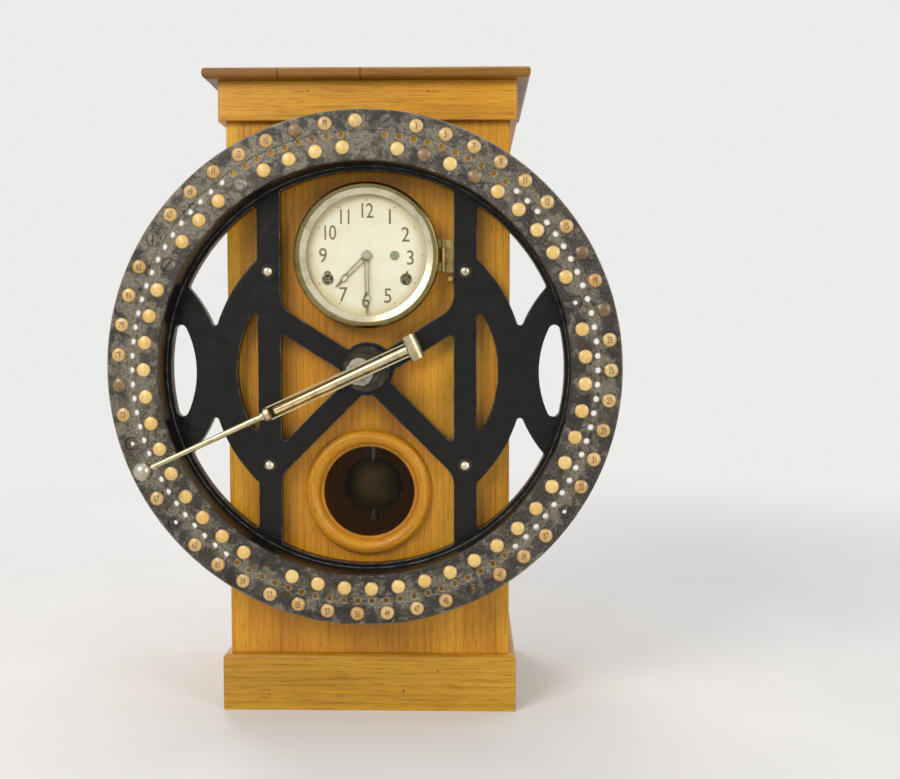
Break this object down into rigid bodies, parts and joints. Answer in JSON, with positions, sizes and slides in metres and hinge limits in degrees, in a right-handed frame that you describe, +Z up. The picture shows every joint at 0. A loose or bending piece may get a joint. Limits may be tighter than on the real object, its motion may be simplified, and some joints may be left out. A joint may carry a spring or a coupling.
{
  "type": "time clock",
  "caption": "Dial time recorder: oak case with a round clock dial, a large number ring on an iron frame, and a swinging press arm on a spindle.",
  "frame": {"origin": "on the floor, under the middle of the case's front face", "axes": "+Z up, +X to the right as seen from the front, the front faces -Y"},
  "size_m": [0.7399, 0.4475, 0.959],
  "materials": {
    "oak_body": "varnished oak, vertical grain",
    "oak_plinth": "varnished oak, horizontal grain",
    "oak_cap": "dark reddish varnished oak",
    "ring_iron": "worn blackened iron",
    "frame_enamel": "glossy black enamel",
    "plug_outer": "aged cream, domed",
    "plug_inner": "aged cream, domed",
    "plug_worn": "browned and dull",
    "steel_dull": "dull steel",
    "nickel": "worn nickel plate",
    "brass": "aged brass",
    "dial_face": "cream enamel",
    "hand_paint": "dark olive lacquer",
    "clear_glass": "clear",
    "paper": "matte",
    "port_green": "dull green"
  },
  "bodies": {
    "case": {"plinth": "oak_plinth", "base_board": "oak_body", "side_board_left": "oak_body", "side_board_right": "oak_body", "front_panel": "oak_body", "window_moulding": "oak_body", "window_glass": "clear_glass", "cornice": "oak_body", "cap": "oak_cap", "case_hinge_leaves": "brass", "number_ring": "ring_iron", "ring_frame": "frame_enamel", "frame_fixings": "nickel", "outer_plugs": "plug_outer", "inner_plugs": "plug_inner", "worn_plugs": "plug_worn", "ring_screws": "steel_dull", "spindle_bushes": "brass", "rear_bracket": "frame_enamel", "dial_housing": "brass", "dial_plate": "dial_face", "dial_port_plug": "port_green", "bezel_hinge": "brass", "bezel_stop": "brass", "movement_plates": "brass", "movement_pillars": "brass"},
    "turning_arm": {"spindle": "steel_dull", "hub_disc": "steel_dull", "arm_yoke": "nickel", "yoke_screws": "brass", "fulcrum_barrel": "steel_dull", "fulcrum_pin": "steel_dull", "arm_tube": "nickel", "record_drum": "oak_body", "paper_sheet": "paper"},
    "press_lever": {"arm_fork": "nickel", "arm_collar": "nickel", "arm_rod": "nickel", "ball_knob": "nickel", "guide_pin": "nickel"},
    "push_rod": {"push_rod": "steel_dull"},
    "type_carriage": {"type_carriage": "steel_dull"},
    "minute_type_wheel": {"minute_type_wheel": "steel_dull"},
    "hour_type_wheel": {"hour_type_wheel": "steel_dull"},
    "minute_hand": {"minute_hand": "hand_paint", "hand_nut": "brass", "centre_wheel": "brass"},
    "hour_hand": {"hour_hand": "hand_paint"},
    "minute_wheel": {"minute_wheel": "brass"},
    "spring_barrel_left": {"spring_barrel_left": "brass"},
    "spring_barrel_right": {"spring_barrel_right": "brass"},
    "winding_arbor_left": {"winding_arbor_left": "brass"},
    "winding_arbor_right": {"winding_arbor_right": "brass"},
    "bezel": {"bezel": "nickel", "bezel_glass": "clear_glass"},
    "pendulum": {"pendulum_rod": "steel_dull", "pendulum_bob": "brass"},
    "back_door": {"back_door": "oak_body", "door_hinge_leaves": "brass"},
    "door_latch": {"door_latch": "brass"}
  },
  "joints": [
    {"name": "arm_turn", "type": "hinge", "parent": "case", "child": "turning_arm", "pos_m": [0, -0.05, 0.519], "axis": [0, 1, 0], "continuous": true},
    {"name": "ball_press", "type": "hinge", "parent": "turning_arm", "child": "press_lever", "pos_m": [0.07177, -0.096, 0.55202], "axis": [0.418, 0, -0.9085], "range_deg": [0, 3.05], "stiffness_Nm_per_rad": 60, "springref_deg": -6.88},
    {"name": "push_rod_slide", "type": "slide", "parent": "turning_arm", "child": "push_rod", "axis": [0, 1, 0], "range_m": [0, 0.0043]},
    {"name": "carriage_rock", "type": "hinge", "parent": "case", "child": "type_carriage", "pos_m": [0, 0.2645, 0.65583], "axis": [1, 0, 0], "range_deg": [0, 1.78]},
    {"name": "minute_type_turn", "type": "hinge", "parent": "type_carriage", "child": "minute_type_wheel", "pos_m": [-0.032, 0.1, 0.62983], "axis": [0, 1, 0], "continuous": true},
    {"name": "hour_type_turn", "type": "hinge", "parent": "type_carriage", "child": "hour_type_wheel", "pos_m": [-0.032, 0.13, 0.62983], "axis": [0, 1, 0], "continuous": true},
    {"name": "minute_hand_turn", "type": "hinge", "parent": "case", "child": "minute_hand", "pos_m": [0, -0.02, 0.686], "axis": [0, 1, 0], "continuous": true},
    {"name": "hour_hand_turn", "type": "hinge", "parent": "case", "child": "hour_hand", "pos_m": [0, -0.02, 0.686], "axis": [0, 1, 0], "continuous": true},
    {"name": "minute_wheel_turn", "type": "hinge", "parent": "case", "child": "minute_wheel", "pos_m": [0.012, -0.02, 0.70678], "axis": [0, 1, 0], "continuous": true},
    {"name": "barrel_left_turn", "type": "hinge", "parent": "case", "child": "spring_barrel_left", "pos_m": [-0.05785, 0.04, 0.65129], "axis": [0, 1, 0], "continuous": true},
    {"name": "barrel_right_turn", "type": "hinge", "parent": "case", "child": "spring_barrel_right", "pos_m": [0.05785, 0.04, 0.65129], "axis": [0, 1, 0], "continuous": true},
    {"name": "winding_left_turn", "type": "hinge", "parent": "case", "child": "winding_arbor_left", "pos_m": [-0.05785, 0.02, 0.65129], "axis": [0, 1, 0], "continuous": true},
    {"name": "winding_right_turn", "type": "hinge", "parent": "case", "child": "winding_arbor_right", "pos_m": [0.05785, 0.02, 0.65129], "axis": [0, 1, 0], "continuous": true},
    {"name": "bezel_hinge_turn", "type": "hinge", "parent": "case", "child": "bezel", "pos_m": [0.1127, -0.024, 0.686], "axis": [0, 0, 1], "range_deg": [0, 90]},
    {"name": "pendulum_swing", "type": "hinge", "parent": "case", "child": "pendulum", "pos_m": [0, 0.07, 0.746], "axis": [0, 1, 0], "range_deg": [-3, 3]},
    {"name": "back_door_hinge", "type": "hinge", "parent": "case", "child": "back_door", "pos_m": [-0.191, 0.3033, 0.49], "axis": [0, 0, 1], "range_deg": [0, 100]},
    {"name": "door_latch_turn", "type": "hinge", "parent": "back_door", "child": "door_latch", "pos_m": [0.168, 0.29, 0.519], "axis": [0, 1, 0], "range_deg": [-90, 0]}
  ],
  "couplings": [
    {"joint": "push_rod_slide", "follows": "ball_press", "m_per_rad": 0.079075},
    {"joint": "carriage_rock", "follows": "ball_press", "ratio": 0.57791},
    {"joint": "hour_hand_turn", "follows": "minute_hand_turn", "ratio": 0.083333},
    {"joint": "minute_wheel_turn", "follows": "minute_hand_turn", "ratio": -0.33333},
    {"joint": "barrel_left_turn", "follows": "minute_hand_turn", "ratio": -0.25},
    {"joint": "barrel_right_turn", "follows": "minute_hand_turn", "ratio": -0.25},
    {"joint": "minute_type_turn", "follows": "minute_hand_turn", "ratio": -1},
    {"joint": "hour_type_turn", "follows": "minute_hand_turn", "ratio": -0.083333}
  ]
}
